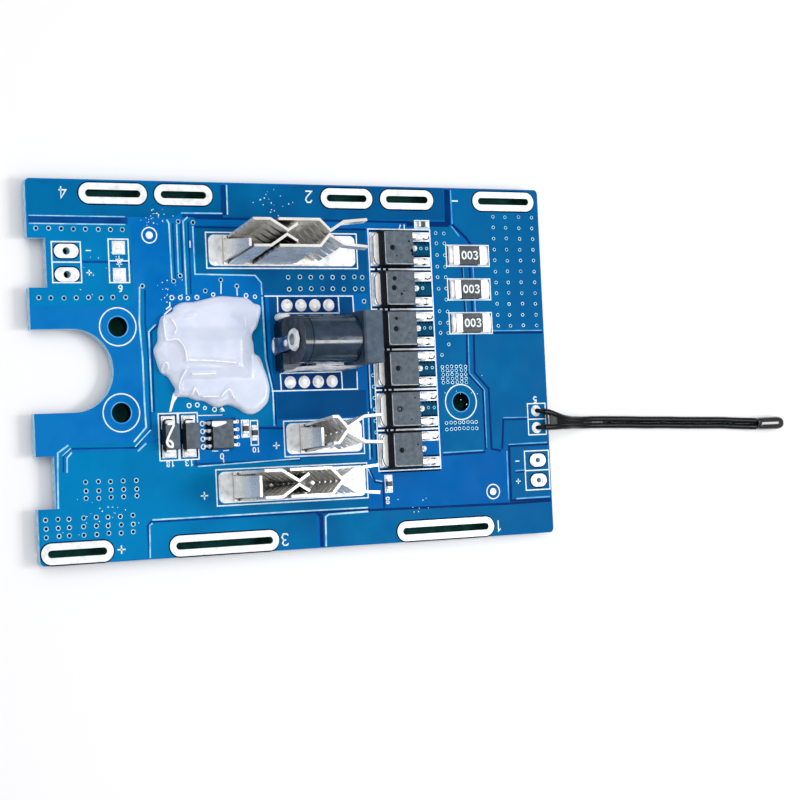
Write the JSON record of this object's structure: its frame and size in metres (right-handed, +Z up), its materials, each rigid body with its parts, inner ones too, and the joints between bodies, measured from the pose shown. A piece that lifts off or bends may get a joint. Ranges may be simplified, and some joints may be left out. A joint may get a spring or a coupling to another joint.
{
  "type": "battery management board",
  "caption": "Circuit board that guards and charges a tool battery, with switching transistors, current shunts, blade terminals, a charging jack and a thermistor lead.",
  "frame": {"origin": "under the middle of the board, on the surface that the solder joints stand on", "axes": "+X along the board towards the thermistor end, +Y across it towards the negative terminal, +Z up out of the component side"},
  "size_m": [0.1489, 0.062, 0.0152],
  "materials": {
    "laminate": "satin",
    "tinned_copper": "satin",
    "legend_ink": "matte",
    "moulded_epoxy": "satin",
    "tinned_leads": "satin",
    "shunt_coat": "satin",
    "jack_plastic": "satin",
    "nickel_sheet": "polished",
    "silicone": "satin",
    "chip_coat": "satin",
    "solder": "satin",
    "lead_insulation": "satin",
    "bead_epoxy": "gloss"
  },
  "bodies": {
    "root": {"circuit_board": "laminate", "slot_plating": "tinned_copper", "solder_lands": "tinned_copper", "legend_frames": "legend_ink", "mosfet_1_body": "moulded_epoxy", "mosfet_2_body": "moulded_epoxy", "mosfet_3_body": "moulded_epoxy", "mosfet_4_body": "moulded_epoxy", "mosfet_5_body": "moulded_epoxy", "mosfet_6_body": "moulded_epoxy", "mosfet_1_leads": "tinned_leads", "mosfet_2_leads": "tinned_leads", "mosfet_3_leads": "tinned_leads", "mosfet_4_leads": "tinned_leads", "mosfet_5_leads": "tinned_leads", "mosfet_6_leads": "tinned_leads", "shunt_1_element": "shunt_coat", "shunt_2_element": "shunt_coat", "shunt_3_element": "shunt_coat", "shunt_1_caps": "tinned_leads", "shunt_2_caps": "tinned_leads", "shunt_3_caps": "tinned_leads", "jack_housing": "jack_plastic", "jack_centre_pin": "nickel_sheet", "jack_rear_contact": "nickel_sheet", "jack_side_spring": "nickel_sheet", "negative_terminal": "nickel_sheet", "charge_terminal": "nickel_sheet", "positive_terminal": "nickel_sheet", "controller_body": "moulded_epoxy", "controller_leads": "tinned_leads", "silicone_coating": "silicone", "charger_body": "moulded_epoxy", "charger_leads": "tinned_leads", "diode_1_body": "moulded_epoxy", "diode_2_body": "moulded_epoxy", "diode_terminals": "tinned_leads", "chip_resistors": "chip_coat", "chip_resistor_caps": "tinned_leads", "plug_joints": "solder", "terminal_joints": "solder", "jack_joints": "solder", "thermistor_joints": "solder", "thermistor_lead_1": "lead_insulation", "thermistor_lead_2": "lead_insulation", "thermistor_bead": "bead_epoxy"}
  },
  "joints": []
}
